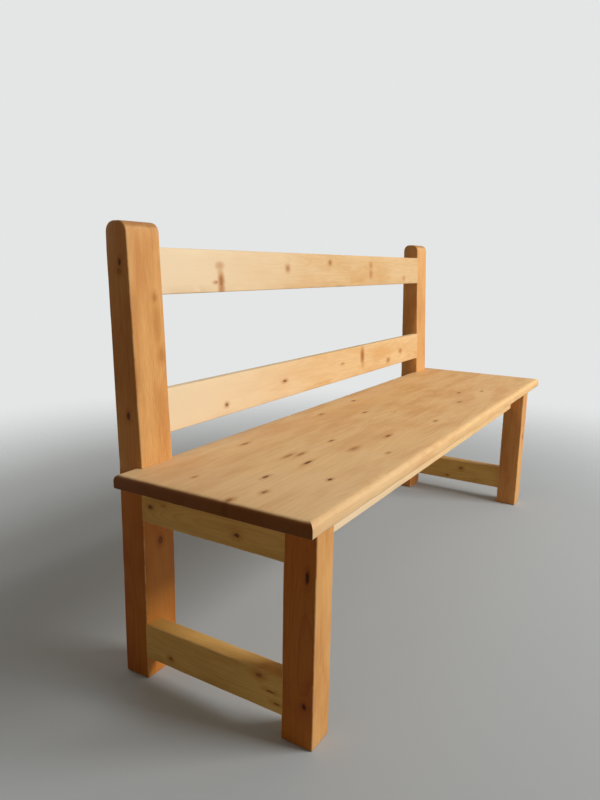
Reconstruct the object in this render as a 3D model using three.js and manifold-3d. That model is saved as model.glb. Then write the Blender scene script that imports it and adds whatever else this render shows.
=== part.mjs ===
// A long pine bench with an open back: square front legs, back posts that lean back above the
// seat, two back rails, a thick round-edged seat, aprons, end rails and end stretchers.
// Every rail is tenoned into the legs and posts, and the seat is held by wooden buttons.
//
// Millimetres. +X runs along the bench, +Y to its back, +Z up. The origin is on the floor,
// under the middle of the whole bench. Left is the -X end.

import * as THREE from 'three';
import { mergeVertices } from 'three/addons/utils/BufferGeometryUtils.js';
import Module from 'manifold-3d';

// Frame
const frame_length = 1510; // over the outer faces of the legs
const frame_depth = 450; // front of a front leg to back of a post, below the seat

// Front legs
const leg_width = 60; // along the bench
const leg_depth = 66; // front to back
const leg_arris_radius = 3;
const foot_ease = 2; // the small rounding where a leg meets the floor

// Back posts, upright to the seat and leaning back above it
const post_width = 87;
const post_depth = 62;
const post_height = 912;
const post_back_lean = 14; // how far back the back face has moved at the top
const post_front_lean = 22.5; // how far back the front face has moved at the top
const post_crown_radius = 20;
const post_foot_radius = 5;
const post_arris_radius = 3;

// Seat, three boards wide
const seat_height = 450;
const seat_thickness = 28;
const seat_end_overhang = 55; // past the outer faces of the legs
const seat_front_overhang = 22; // past the front faces of the front legs
const seat_notch_depth = 21; // how far the back edge passes the posts' front faces
const seat_nose_radius = 12; // the round along the top edges
const seat_under_radius = 5; // the smaller one along the lower edges
const seat_corner_radius = 2.5; // in plan
const seat_board_count = 3;
const tongue_thickness = 8;
const tongue_reach = 8;
const tongue_end_stop = 40; // the tongues stop short of the seat's ends

// Aprons along the front and the back, under the seat
const apron_height = 70;
const apron_thickness = 22;
const front_apron_setback = 42; // behind the front faces of the front legs
const apron_tenon_thickness = 10;
const apron_tenon_shoulder = 10;
const back_apron_tenon_reach = 35;
const tenon_wall = 5; // wood left between two tenons that cross in a front leg

// End rails under the seat, and end stretchers near the floor, flush with the legs outside
const end_rail_height = 80;
const end_rail_thickness = 38;
const stretcher_bottom = 47;
const stretcher_height = 76;
const stretcher_thickness = 37;
const end_tenon_thickness = 12;
const end_tenon_shoulder = 12;
const end_tenon_reach = 35;

// Back rails, flush with the leaning front faces of the posts
const back_rail_height = 90;
const back_rail_thickness = 22;
const back_rail_low_rise = 54; // from the seat up to the low rail, along the lean
const back_rail_top_drop = 45.5; // from the posts' tops down to the top rail, along the lean
const back_rail_tenon_thickness = 10;
const back_rail_tenon_shoulder = 10;
const back_rail_tenon_reach = 40;

// Edges eased by hand on every rail
const rail_arris_radius = 2.5;

// Bearer across the middle, under the seat
const bearer_thickness = 22;
const bearer_height = 60;
const bearer_tenon_thickness = 8;
const bearer_tenon_shoulder = 10;
const bearer_tenon_reach = 10;

// Buttons: small blocks screwed to the seat, each with a lip in a slot of an apron or end rail
const buttons_per_apron = 4;
const button_width = 40;
const button_depth = 28;
const button_height = 22;
const button_lip_thickness = 8;
const button_lip_reach = 8;
const button_lip_drop = 8; // from the button's top to its lip
const button_edge_radius = 2;
const slot_play = 3; // room at each end of a slot, for the seat to move

// Screws in the buttons
const screw_head_radius = 4.2;
const screw_head_height = 2.6;
const screw_shank_radius = 2.1;
const screw_bite = 15; // how far a screw enters the seat
const screw_point = 5;
const screw_head_crown_share = 0.6; // width of the flat crown of a head, as a share of the head

// Fits
const joint_gap = 0.3; // clearance all round a tenon, a lip, a tongue or a screw
const overrun = 10; // how far a cutting shape passes the face that it cuts

// Facets in a quarter turn
const arris_steps = 3;
const crown_steps = 8;
const nose_steps = 8;
const screw_facets = 16;

// Places worked out from the sizes above, with Y measured from the front of the front legs
const half_length = frame_length / 2;
const seat_front_y = -seat_front_overhang;
const leg_front_y = 0;
const leg_back_y = leg_front_y + leg_depth;
const post_back_y = leg_front_y + frame_depth;
const post_front_y = post_back_y - post_depth;
const seat_back_y = post_front_y + seat_notch_depth;
const seat_length = frame_length + 2 * seat_end_overhang;
const seat_under = seat_height - seat_thickness;
const front_apron_back_y = leg_front_y + front_apron_setback + apron_thickness;
const board_width = (seat_back_y - seat_front_y) / seat_board_count;
const front_apron_tenon_reach =
  leg_width - (end_rail_thickness + end_tenon_thickness) / 2 - tenon_wall;
const post_lean_length = Math.hypot(post_height - seat_height, post_front_lean);
const back_rail_top_rise = post_lean_length - back_rail_top_drop - back_rail_height;
const sides = { left: -1, right: 1 };

const wasm = await Module();
wasm.setup();

const woods = {
  redwood: new THREE.MeshStandardMaterial({ color: '#b97c48', roughness: 0.5, metalness: 0 }),
  pale_pine: new THREE.MeshStandardMaterial({ color: '#e2bd8b', roughness: 0.5, metalness: 0 }),
  seat_pine: new THREE.MeshStandardMaterial({ color: '#c4976a', roughness: 0.45, metalness: 0 }),
  end_pine: new THREE.MeshStandardMaterial({ color: '#b48c58', roughness: 0.55, metalness: 0 }),
  raw_pine: new THREE.MeshStandardMaterial({ color: '#d8b98c', roughness: 0.8, metalness: 0 }),
};
const screw_steel = new THREE.MeshStandardMaterial({
  color: '#9a9890', roughness: 0.35, metalness: 1,
});

// Solids

// A closed geometry as a solid that can be cut and joined
function solidOf(geometry) {
  const bare = geometry.clone();
  bare.deleteAttribute('normal');
  bare.deleteAttribute('uv');
  const merged = mergeVertices(bare);
  return new wasm.Manifold(new wasm.Mesh({
    numProp: 3,
    vertProperties: new Float32Array(merged.attributes.position.array),
    triVerts: new Uint32Array(merged.index.array),
  }));
}

// A solid as a geometry, measured from the piece's own reference point
function geometryOf(solid, origin) {
  const mesh = solid.getMesh();
  const geometry = new THREE.BufferGeometry();
  geometry.setAttribute('position', new THREE.BufferAttribute(mesh.vertProperties, mesh.numProp));
  geometry.setIndex(new THREE.BufferAttribute(mesh.triVerts, 1));
  geometry.translate(-origin.x, -origin.y, -origin.z);
  geometry.computeVertexNormals();
  return geometry;
}

// A named piece standing at its reference point
function piece(name, solid, origin, material) {
  const mesh = new THREE.Mesh(geometryOf(solid, origin), material.clone());
  mesh.name = name;
  mesh.position.copy(origin);
  return mesh;
}

function boxBetween(a, b) {
  return new THREE.Box3().setFromPoints([new THREE.Vector3(...a), new THREE.Vector3(...b)]);
}

function boxGeometry(box) {
  const size = box.getSize(new THREE.Vector3());
  const centre = box.getCenter(new THREE.Vector3());
  const geometry = new THREE.BoxGeometry(size.x, size.y, size.z);
  geometry.translate(centre.x, centre.y, centre.z);
  return geometry;
}

// The hole that takes a box-shaped tenon, lip or tongue with the joint's clearance
function socketFor(box) {
  return solidOf(boxGeometry(box.clone().expandByScalar(joint_gap)));
}

function cutAll(solid, cutters) {
  return cutters.reduce((rest, cutter) => rest.subtract(cutter), solid);
}

// A closed outline through its corners, counter-clockwise, each rounded to its own radius
function outline(corners) {
  const shape = new THREE.Shape();
  corners.forEach(({ x, y, radius }, i) => {
    const corner = new THREE.Vector2(x, y);
    const before = corners[(i + corners.length - 1) % corners.length];
    const after = corners[(i + 1) % corners.length];
    const back = new THREE.Vector2(before.x - x, before.y - y).normalize();
    const on = new THREE.Vector2(after.x - x, after.y - y).normalize();
    if (radius === 0) {
      if (shape.curves.length === 0) shape.moveTo(x, y);
      else shape.lineTo(x, y);
      return;
    }
    const half_angle = Math.acos(back.dot(on)) / 2;
    const middle = back.clone().add(on).normalize();
    const centre = corner.clone().addScaledVector(middle, radius / Math.sin(half_angle));
    const run = radius / Math.tan(half_angle);
    const start = corner.clone().addScaledVector(back, run).sub(centre);
    const end = corner.clone().addScaledVector(on, run).sub(centre);
    const turns_right = back.cross(on) > 0;
    shape.absarc(centre.x, centre.y, radius, start.angle(), end.angle(), turns_right);
  });
  return shape;
}

function rectangle(width, height, radius) {
  return outline([
    { x: -width / 2, y: -height / 2, radius },
    { x: width / 2, y: -height / 2, radius },
    { x: width / 2, y: height / 2, radius },
    { x: -width / 2, y: height / 2, radius },
  ]);
}

// An outline drawn out along +Z from zero, with the edges of its two ends rounded
function drawnOut(shape, length, ease, ease_steps, curve_steps) {
  const geometry = new THREE.ExtrudeGeometry(shape, {
    depth: length - 2 * ease,
    bevelEnabled: ease > 0,
    bevelThickness: ease,
    bevelSize: ease,
    bevelOffset: -ease,
    bevelSegments: ease_steps,
    curveSegments: curve_steps,
  });
  geometry.translate(0, 0, ease);
  return geometry;
}

// Turns a form drawn out along Z so that it runs along X, with its outline in Y and Z
function alongX(geometry) {
  const y_z_x = new THREE.Matrix4().makeBasis(
    new THREE.Vector3(0, 1, 0), new THREE.Vector3(0, 0, 1), new THREE.Vector3(1, 0, 0));
  return geometry.applyMatrix4(y_z_x);
}

// Turns a form drawn out along Z so that it runs along Y, with its outline in Z and X
function alongY(geometry) {
  const z_x_y = new THREE.Matrix4().makeBasis(
    new THREE.Vector3(0, 0, 1), new THREE.Vector3(1, 0, 0), new THREE.Vector3(0, 1, 0));
  return geometry.applyMatrix4(z_x_y);
}

// Rails

// The box of a rail's two tenons, which runs through the rail and out at both its ends
function tenonBox(body, run, thickness, shoulder, reach) {
  const across = run === 'x' ? 'y' : 'x';
  const cheek = (body.max[across] - body.min[across] - thickness) / 2;
  const box = body.clone();
  box.min[across] += cheek;
  box.max[across] -= cheek;
  box.min.z += shoulder;
  box.max.z -= shoulder;
  box.min[run] -= reach;
  box.max[run] += reach;
  return box;
}

// A straight rail with eased edges and its two tenons
function railSolid(body, run, tenons) {
  const size = body.getSize(new THREE.Vector3());
  const centre = body.getCenter(new THREE.Vector3());
  let bar;
  if (run === 'x') {
    const section = rectangle(size.y, size.z, rail_arris_radius);
    bar = alongX(drawnOut(section, size.x, 0, 0, arris_steps));
    bar.translate(body.min.x, centre.y, centre.z);
  } else {
    const section = rectangle(size.z, size.x, rail_arris_radius);
    bar = alongY(drawnOut(section, size.y, 0, 0, arris_steps));
    bar.translate(centre.x, body.min.y, centre.z);
  }
  return solidOf(bar).add(solidOf(boxGeometry(tenons)));
}

// A rail's body box and tenon box together
function joinedRail(low, high, run, tenon_thickness, tenon_shoulder, tenon_reach) {
  const body = boxBetween(low, high);
  return {
    body,
    run,
    tenons: tenonBox(body, run, tenon_thickness, tenon_shoulder, tenon_reach),
    foot: new THREE.Vector3((body.min.x + body.max.x) / 2, (body.min.y + body.max.y) / 2, body.min.z),
  };
}

function frontApron() {
  const half_span = half_length - leg_width;
  return joinedRail(
    [-half_span, front_apron_back_y - apron_thickness, seat_under - apron_height],
    [half_span, front_apron_back_y, seat_under],
    'x', apron_tenon_thickness, apron_tenon_shoulder, front_apron_tenon_reach);
}

function backApron() {
  const half_span = half_length - post_width;
  return joinedRail(
    [-half_span, post_front_y, seat_under - apron_height],
    [half_span, post_front_y + apron_thickness, seat_under],
    'x', apron_tenon_thickness, apron_tenon_shoulder, back_apron_tenon_reach);
}

function endRail(side) {
  return joinedRail(
    [side * half_length, leg_back_y, seat_under - end_rail_height],
    [side * (half_length - end_rail_thickness), post_front_y, seat_under],
    'y', end_tenon_thickness, end_tenon_shoulder, end_tenon_reach);
}

function endStretcher(side) {
  return joinedRail(
    [side * half_length, leg_back_y, stretcher_bottom],
    [side * (half_length - stretcher_thickness), post_front_y, stretcher_bottom + stretcher_height],
    'y', end_tenon_thickness, end_tenon_shoulder, end_tenon_reach);
}

function seatBearer() {
  return joinedRail(
    [-bearer_thickness / 2, front_apron_back_y, seat_under - bearer_height],
    [bearer_thickness / 2, post_front_y, seat_under],
    'y', bearer_tenon_thickness, bearer_tenon_shoulder, bearer_tenon_reach);
}

// The back rails are drawn upright, in a group that leans back with the posts' front faces
function backRail(rise) {
  const half_span = half_length - post_width - joint_gap;
  return joinedRail(
    [-half_span, 0, rise],
    [half_span, back_rail_thickness, rise + back_rail_height],
    'x', back_rail_tenon_thickness, back_rail_tenon_shoulder, back_rail_tenon_reach + joint_gap);
}

function leaningGroup() {
  const group = new THREE.Group();
  group.position.set(0, post_front_y, seat_height);
  group.rotation.x = -Math.atan(post_front_lean / (post_height - seat_height));
  group.updateMatrix();
  return group;
}

// Legs and posts

function frontLeg(side, sockets) {
  const section = rectangle(leg_width, leg_depth, leg_arris_radius);
  const bar = drawnOut(section, seat_under + foot_ease, foot_ease, arris_steps, arris_steps);
  const centre_x = side * (half_length - leg_width / 2);
  const centre_y = (leg_front_y + leg_back_y) / 2;
  bar.translate(centre_x, centre_y, 0);
  const above_the_leg = boxBetween(
    [centre_x - leg_width, centre_y - leg_depth, seat_under],
    [centre_x + leg_width, centre_y + leg_depth, seat_under + overrun]);
  const solid = solidOf(bar).subtract(solidOf(boxGeometry(above_the_leg)));
  return piece(sideName('front_leg', side), cutAll(solid, sockets),
    new THREE.Vector3(centre_x, centre_y, 0), woods.redwood);
}

// A post's side view: upright to the seat, then leaning and a little tapered, with a round crown
function postOutline() {
  return outline([
    { x: post_front_y, y: 0, radius: post_foot_radius },
    { x: post_back_y, y: 0, radius: post_foot_radius },
    { x: post_back_y, y: seat_height, radius: 0 },
    { x: post_back_y + post_back_lean, y: post_height, radius: post_crown_radius },
    { x: post_front_y + post_front_lean, y: post_height, radius: post_crown_radius },
    { x: post_front_y, y: seat_height, radius: 0 },
  ]);
}

function backPost(side, sockets) {
  const bar = alongX(drawnOut(
    postOutline(), post_width, post_arris_radius, arris_steps, crown_steps));
  const centre_x = side * (half_length - post_width / 2);
  bar.translate(centre_x - post_width / 2, 0, 0);
  return piece(sideName('back_post', side), cutAll(solidOf(bar), sockets),
    new THREE.Vector3(centre_x, (post_front_y + post_back_y) / 2, 0), woods.redwood);
}

function sideName(name, side) {
  return side < 0 ? `${name}_left` : `${name}_right`;
}

// Seat

// The seat's section between two edges, with a round nose on both
function noseSection(low, high) {
  return outline([
    { x: low, y: seat_under, radius: seat_under_radius },
    { x: high, y: seat_under, radius: seat_under_radius },
    { x: high, y: seat_height, radius: seat_nose_radius },
    { x: low, y: seat_height, radius: seat_nose_radius },
  ]);
}

// The whole seat before it is parted into boards: what its two sections and its plan share
function seatSlab() {
  const depth = seat_back_y - seat_front_y;
  const lengthwise = alongX(drawnOut(
    noseSection(seat_front_y, seat_back_y), seat_length, 0, 0, nose_steps));
  lengthwise.translate(-seat_length / 2, 0, 0);
  const crosswise = alongX(drawnOut(
    noseSection(-seat_length / 2, seat_length / 2), depth, 0, 0, nose_steps));
  crosswise.rotateZ(-Math.PI / 2);
  crosswise.translate(0, seat_back_y, 0);
  const plan = drawnOut(
    rectangle(seat_length, depth, seat_corner_radius), seat_thickness, 0, 0, nose_steps);
  plan.translate(0, seat_front_y + depth / 2, seat_under);
  return solidOf(lengthwise).intersect(solidOf(crosswise)).intersect(solidOf(plan));
}

// The notches in the back corners, where the posts pass the seat
function seatNotches() {
  return Object.values(sides).map((side) => solidOf(boxGeometry(boxBetween(
    [side * (half_length + joint_gap), post_front_y - joint_gap, seat_under - overrun],
    [side * (half_length - post_width - joint_gap), seat_back_y + overrun, seat_height + overrun],
  ))));
}

// The tongue that a board pushes into the one behind it
function tongueBehind(board) {
  const joint_y = seat_front_y + (board + 1) * board_width;
  const half_run = seat_length / 2 - tongue_end_stop;
  const middle_z = seat_under + seat_thickness / 2;
  return boxBetween(
    [-half_run, joint_y - tongue_reach, middle_z - tongue_thickness / 2],
    [half_run, joint_y + tongue_reach, middle_z + tongue_thickness / 2]);
}

function seatBoard(board, name, slab, cutters) {
  const last = seat_board_count - 1;
  const near_y = seat_front_y + board * board_width + (board === 0 ? -overrun : joint_gap / 2);
  const far_y = seat_front_y + (board + 1) * board_width + (board === last ? overrun : -joint_gap / 2);
  const strip = boxBetween(
    [-seat_length, near_y, seat_under - overrun],
    [seat_length, far_y, seat_height + overrun]);
  let solid = slab.intersect(solidOf(boxGeometry(strip)));
  if (board < last) solid = solid.add(solidOf(boxGeometry(tongueBehind(board))));
  if (board > 0) solid = solid.subtract(socketFor(tongueBehind(board - 1)));
  const middle_y = seat_front_y + (board + 0.5) * board_width;
  return piece(name, cutAll(solid, cutters),
    new THREE.Vector3(0, middle_y, seat_under), woods.seat_pine);
}

// Buttons and their screws

// A button in its own frame: top face at zero, back against an apron, lip reaching to -Y
function buttonSolid() {
  const lip_top = -button_lip_drop;
  const lip_bottom = lip_top - button_lip_thickness;
  const radius = button_edge_radius;
  const side_view = outline([
    { x: joint_gap, y: -button_height, radius: 0 },
    { x: button_depth, y: -button_height, radius },
    { x: button_depth, y: 0, radius: 0 },
    { x: joint_gap, y: 0, radius: 0 },
    { x: joint_gap, y: lip_top, radius: 0 },
    { x: -button_lip_reach, y: lip_top, radius: 0 },
    { x: -button_lip_reach, y: lip_bottom, radius: 0 },
    { x: joint_gap, y: lip_bottom, radius: 0 },
  ]);
  const block = alongX(drawnOut(side_view, button_width, 0, 0, arris_steps));
  block.translate(-button_width / 2, 0, 0);
  return solidOf(block).subtract(screwHole());
}

function buttonLip() {
  const half_width = button_width / 2 + slot_play;
  return boxBetween(
    [-half_width, -button_lip_reach, -button_lip_drop - button_lip_thickness],
    [half_width, overrun, -button_lip_drop]);
}

// The hole for a screw, through the button and up into the seat, in the button's frame
function screwHole() {
  const low = -button_height - overrun;
  const high = screw_bite + joint_gap;
  const radius = screw_shank_radius + joint_gap;
  const hole = new THREE.CylinderGeometry(radius, radius, high - low, screw_facets);
  hole.rotateX(Math.PI / 2);
  hole.translate(0, button_depth / 2, (low + high) / 2);
  return solidOf(hole);
}

function screwGeometry() {
  const under_head = -button_height - joint_gap;
  const tip = screw_bite;
  const profile = [
    [0, under_head - screw_head_height],
    [screw_head_radius * screw_head_crown_share, under_head - screw_head_height],
    [screw_head_radius, under_head - screw_head_height / 2],
    [screw_head_radius, under_head],
    [screw_shank_radius, under_head],
    [screw_shank_radius, tip - screw_point],
    [0, tip],
  ].map(([radius, height]) => new THREE.Vector2(radius, height));
  const screw = new THREE.LatheGeometry(profile, screw_facets);
  screw.rotateX(Math.PI / 2);
  screw.translate(0, button_depth / 2, 0);
  return screw;
}

// Where each button stands: beside an apron or end rail, its lip turned to it
function buttonPlaces() {
  const top = seat_under - joint_gap;
  const places = [];
  for (let i = 0; i < buttons_per_apron; i += 1) {
    const share = (i + 0.5) / buttons_per_apron - 0.5;
    places.push({
      name: `front_${i + 1}`,
      at: [share * (frame_length - 2 * leg_width), front_apron_back_y, top],
      turn: 0,
    });
    places.push({
      name: `back_${i + 1}`,
      at: [share * (frame_length - 2 * post_width), post_front_y, top],
      turn: Math.PI,
    });
  }
  Object.values(sides).forEach((side) => {
    places.push({
      name: sideName('end', side),
      at: [side * (half_length - end_rail_thickness), (leg_back_y + post_front_y) / 2, top],
      turn: (side * Math.PI) / 2,
    });
  });
  return places;
}

// A button or its screw, standing at the button's place and turned with it
function atButtonPlace(name, { at, turn }, geometry, material) {
  const mesh = new THREE.Mesh(geometry.clone(), material.clone());
  mesh.name = name;
  mesh.position.set(...at);
  mesh.rotation.z = turn;
  mesh.updateMatrix();
  return mesh;
}

// The bench

function buildBench() {
  const bench = new THREE.Group();
  const leaning = leaningGroup();
  const origin = new THREE.Vector3();

  const front_apron = frontApron();
  const back_apron = backApron();
  const bearer = seatBearer();
  const back_rails = {
    back_rail_low: backRail(back_rail_low_rise),
    back_rail_top: backRail(back_rail_top_rise),
  };

  const places = buttonPlaces();
  const button_geometry = geometryOf(buttonSolid(), origin);
  const buttons = places.map((place) => atButtonPlace(
    `seat_button_${place.name}`, place, button_geometry, woods.raw_pine));
  const screws = places.map((place) => atButtonPlace(
    `seat_button_screw_${place.name}`, place, screwGeometry(), screw_steel));
  const slots = buttons.map((button) => socketFor(buttonLip().applyMatrix4(button.matrix)));
  const screw_holes = buttons.map((button) => {
    const hole = geometryOf(screwHole(), origin);
    return solidOf(hole.applyMatrix4(button.matrix));
  });

  // Mortises for the back rails, leaning as they do
  const leaning_sockets = Object.values(back_rails).map(({ tenons }) => {
    const grown = tenons.clone().expandByScalar(joint_gap);
    return solidOf(boxGeometry(grown).applyMatrix4(leaning.matrix));
  });

  Object.values(sides).forEach((side) => {
    const end_rail = endRail(side);
    const stretcher = endStretcher(side);
    const end_sockets = [socketFor(end_rail.tenons), socketFor(stretcher.tenons)];
    bench.add(frontLeg(side, [...end_sockets, socketFor(front_apron.tenons)]));
    bench.add(backPost(side, [...end_sockets, socketFor(back_apron.tenons), ...leaning_sockets]));
    bench.add(piece(sideName('end_rail', side),
      cutAll(railSolid(end_rail.body, end_rail.run, end_rail.tenons), slots),
      end_rail.foot, woods.end_pine));
    bench.add(piece(sideName('end_stretcher', side),
      railSolid(stretcher.body, stretcher.run, stretcher.tenons),
      stretcher.foot, woods.end_pine));
  });

  const apron_sockets = [...slots, socketFor(bearer.tenons)];
  bench.add(piece('front_apron',
    cutAll(railSolid(front_apron.body, front_apron.run, front_apron.tenons), apron_sockets),
    front_apron.foot, woods.pale_pine));
  bench.add(piece('back_apron',
    cutAll(railSolid(back_apron.body, back_apron.run, back_apron.tenons), apron_sockets),
    back_apron.foot, woods.pale_pine));
  bench.add(piece('seat_bearer', railSolid(bearer.body, bearer.run, bearer.tenons),
    bearer.foot, woods.raw_pine));

  Object.entries(back_rails).forEach(([name, { body, run, tenons, foot }]) => {
    leaning.add(piece(name, railSolid(body, run, tenons), foot, woods.pale_pine));
  });
  bench.add(leaning);

  const slab = seatSlab();
  const seat_cutters = [...seatNotches(), ...screw_holes];
  ['seat_board_front', 'seat_board_middle', 'seat_board_back'].forEach((name, board) => {
    bench.add(seatBoard(board, name, slab, seat_cutters));
  });

  bench.add(...buttons, ...screws);

  const middle = new THREE.Box3().setFromObject(bench).getCenter(new THREE.Vector3());
  bench.position.y = -middle.y;
  return bench;
}

export default buildBench();
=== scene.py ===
"""A waxed pine monks bench, dressed around its packed construction.

Every timber is a stack of outlines with eased edges and a slightly uneven, hand-planed surface.
Each one carries its own place in the log that it was sawn from, so that growth rings, end grain
and knots run through the wood. Lengths are metres, and names ending in mm hold millimetres.
"""

import math
from functools import partial
from typing import NamedTuple

import bmesh
import bpy
from bpy.props import FloatProperty, FloatVectorProperty, IntProperty, PointerProperty
from bpy.types import Operator, PropertyGroup
from mathutils import Matrix, Vector, noise


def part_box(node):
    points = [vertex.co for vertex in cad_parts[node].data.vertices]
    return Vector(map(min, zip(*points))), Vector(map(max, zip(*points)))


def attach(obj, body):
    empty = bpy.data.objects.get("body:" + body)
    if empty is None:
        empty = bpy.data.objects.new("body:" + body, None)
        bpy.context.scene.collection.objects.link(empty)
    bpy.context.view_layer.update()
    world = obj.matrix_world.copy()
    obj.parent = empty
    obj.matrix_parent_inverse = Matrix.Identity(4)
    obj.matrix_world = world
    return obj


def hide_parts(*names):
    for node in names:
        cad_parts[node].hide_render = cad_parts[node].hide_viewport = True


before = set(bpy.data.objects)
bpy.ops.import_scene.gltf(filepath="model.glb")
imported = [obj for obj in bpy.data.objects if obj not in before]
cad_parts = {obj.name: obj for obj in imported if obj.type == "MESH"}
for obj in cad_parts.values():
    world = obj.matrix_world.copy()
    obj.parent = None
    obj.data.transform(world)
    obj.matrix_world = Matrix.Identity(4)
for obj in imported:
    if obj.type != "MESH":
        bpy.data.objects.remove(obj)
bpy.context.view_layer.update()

bl_info = {
    "name": "Monks Bench",
    "version": (1, 0, 0),
    "blender": (4, 5, 0),
    "location": "3D View > Sidebar > Bench",
    "description": "Builds a waxed pine monks bench and the studio that it stands in",
    "category": "Add Mesh",
}

MM = 0.001
ENDS = ("left", "right")
LOG_PLACE = "log_place"  # a vertex's place in its log, in millimetres, with the pith along X
EASED = "eased"  # 1 where a vertex lies on a rounded edge
TONE = "tone"  # how much paler or darker each timber is drawn than its neighbours
TONES = {"back_rail_top": -0.1, "back_rail_low": -0.01, "front_apron": 0.14}
SHARP_ANGLE = math.radians(38)  # edges that turn by more are shaded as sharp
LEAST_RADIUS = 0.02 * MM  # a rounded corner never gets sharper, so its points stay apart
SNAP = 1e-6  # vertices that lie this close to a cut count as on it
SEED_STEPS = (7.13, 3.71, 5.37)  # how far apart in the noise two timbers' surfaces lie
HOLLOWS = 9  # how closely the plane's hollows lie, in noise cells to a metre
WORN_PATCHES = 26  # the same for the worn patches along the edges
# The seat's boards, with the joints they end at: how many thirds back, and the side cut away
SEAT_BOARDS = {"front": ((1, 1),), "middle": ((1, -1), (2, 1)), "back": ((2, -1),)}
SEAT_SLICES = ((0, 45 * MM), (1, 20 * MM))  # the seat's faces: how long and how deep they are
LOG_STEP_MM = 730  # how far apart the timbers' places lie along their log
NOTCH_PLAY = 0.3 * MM  # room between a post and its notch in the seat
NOTCH_OVERRUN = 10 * MM  # how far the notches' cutters reach past the seat


def linear(hex_colour):
    """An sRGB hex colour as linear RGB."""
    parts = [int(hex_colour[i:i + 2], 16) / 255 for i in (1, 3, 5)]
    return tuple(c / 12.92 if c <= 0.04045 else ((c + 0.055) / 1.055) ** 2.4 for c in parts)


# Places read from the frame

def low(node):
    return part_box(node)[0]


def high(node):
    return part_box(node)[1]


_, SEAT_FRONT, SEAT_UNDER = low("seat_board_front")
SEAT_TOP = high("seat_board_front").z
SEAT_BACK = high("seat_board_back").y
POST_TOP = high("back_post_left").z
POST_FRONT = low("back_post_left").y


def leaning_rails():
    """The back rails' lean from upright, their height and their thickness."""
    step = low("back_rail_top") - low("back_rail_low")
    lean = math.atan2(step.y, step.z)
    size = high("back_rail_low") - low("back_rail_low")
    c, s = math.cos(lean), math.sin(lean)
    height = (size.z * c - size.y * s) / (c * c - s * s)
    thickness = (size.y * c - size.z * s) / (c * c - s * s)
    return lean, height, thickness


LEAN, RAIL_HEIGHT, RAIL_THICKNESS = leaning_rails()


# Settings

def length(name, description, default):
    return FloatProperty(name=name, description=description, default=default, unit="LENGTH")


def power(name, description, default):
    return FloatProperty(name=name, description=description, default=default, min=0, unit="POWER")


def colour(name, description, hex_colour):
    return FloatVectorProperty(
        name=name, description=description, default=linear(hex_colour),
        subtype="COLOR", min=0, max=1)


class TimberSettings(PropertyGroup):
    """How the timbers are shaped and finished by hand."""

    arris: length("Arris", "Rounding along the edges of legs and posts", 3.2 * MM)
    rail_arris: length("Rail arris", "Rounding along the edges of rails", 2.6 * MM)
    crown: length("Crown", "Rounding of the posts' tops, seen from the side", 20 * MM)
    post_depth: length("Post depth", "Depth of a post below the seat", 62 * MM)
    post_back_lean: length("Post lean", "How far a post's back face leans at the top", 14 * MM)
    nose: length("Nose", "Rounding along the seat's top edges", 12 * MM)
    under_nose: length("Under nose", "Rounding along the seat's lower edges", 5 * MM)
    seat_corner: length("Seat corner", "Rounding of the seat's corners in plan", 2.5 * MM)
    foot_ease: length("Foot ease", "Rounding where a leg meets the floor", 2.4 * MM)
    planing: length("Planing", "Depth of the hollows that a hand plane leaves", 0.35 * MM)
    wear: length("Wear", "Extra wood worn off an edge in places", 0.9 * MM)
    facet: length("Facet", "Length of the mesh's faces along a timber", 18 * MM)
    round_steps: IntProperty(
        name="Round steps", description="Faces across a rounded edge", default=5, min=2, max=12)


class FixingSettings(PropertyGroup):
    """The seat buttons and their screws."""

    lip: length("Lip", "Reach and thickness of a button's lip", 8 * MM)
    screw_head: length("Screw head", "Height of a screw's head", 2.6 * MM)
    screw_shank: length("Screw shank", "Radius of a screw's shank", 2.1 * MM)
    screw_slot: length("Screw slot", "Width and depth of a screw's slot", 1.1 * MM)
    screw_turn: FloatProperty(
        name="Screw turn", description="How much further round each screw stands than the last",
        default=0.7, unit="ROTATION")


class WoodSettings(PropertyGroup):
    """The colours of the woods."""

    redwood: colour("Redwood", "Spring wood of the legs and posts", "#E6AE6A")
    redwood_late: colour("Redwood rings", "Dark rings in the legs and posts", "#C07634")
    pale: colour("Pale pine", "Back rails and aprons", "#EDC993")
    pale_late: colour("Pale pine rings", "Dark rings in the rails and aprons", "#D69C54")
    seat: colour("Seat pine", "The seat boards", "#EBC085")
    seat_late: colour("Seat pine rings", "Dark rings in the seat boards", "#CB8B4A")
    end_rail: colour("End pine", "End rails and stretchers", "#E3B464")
    end_rail_late: colour("End pine rings", "Dark rings in the end rails", "#BC8538")
    raw: colour("Bare pine", "The bearer and the seat buttons", "#DFC294")
    raw_late: colour("Bare pine rings", "Dark rings in bare pine", "#C49A5E")
    knot: colour("Knot", "The heart of a knot", "#733A10")
    knot_bark: colour("Knot bark", "The dark ring round a knot", "#3A1A07")
    halo: colour("Halo", "Resin-stained wood round a knot", "#B26A1E")
    # Painted light: the rails and seat are drawn paler towards the near end, as if lit more
    # strongly there
    painted_light_hue: colour("Painted near light", "Painted light, paler towards the near end", "#F4DDB8")
    end_grain: colour("End grain", "How much a cut end darkens with wax", "#7F5828")
    # Paler edges: partly worn wax, partly a painted highlight along the arrises
    worn: colour("Worn and lit edges", "Where the wax has rubbed off the edges", "#F0C88E")
    # Painted shade: the legs' sides and the back legs' fronts below the seat are drawn darker
    painted_side_shade: colour("Painted side shade", "How much darker the legs' outer sides are painted", "#CB9F5C")
    painted_under_seat_shade: colour("Painted shade under the seat", "How much darker the back legs are painted below the seat", "#F2D49E")
    ring: length("Ring width", "A year's growth", 3.4 * MM)


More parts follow.
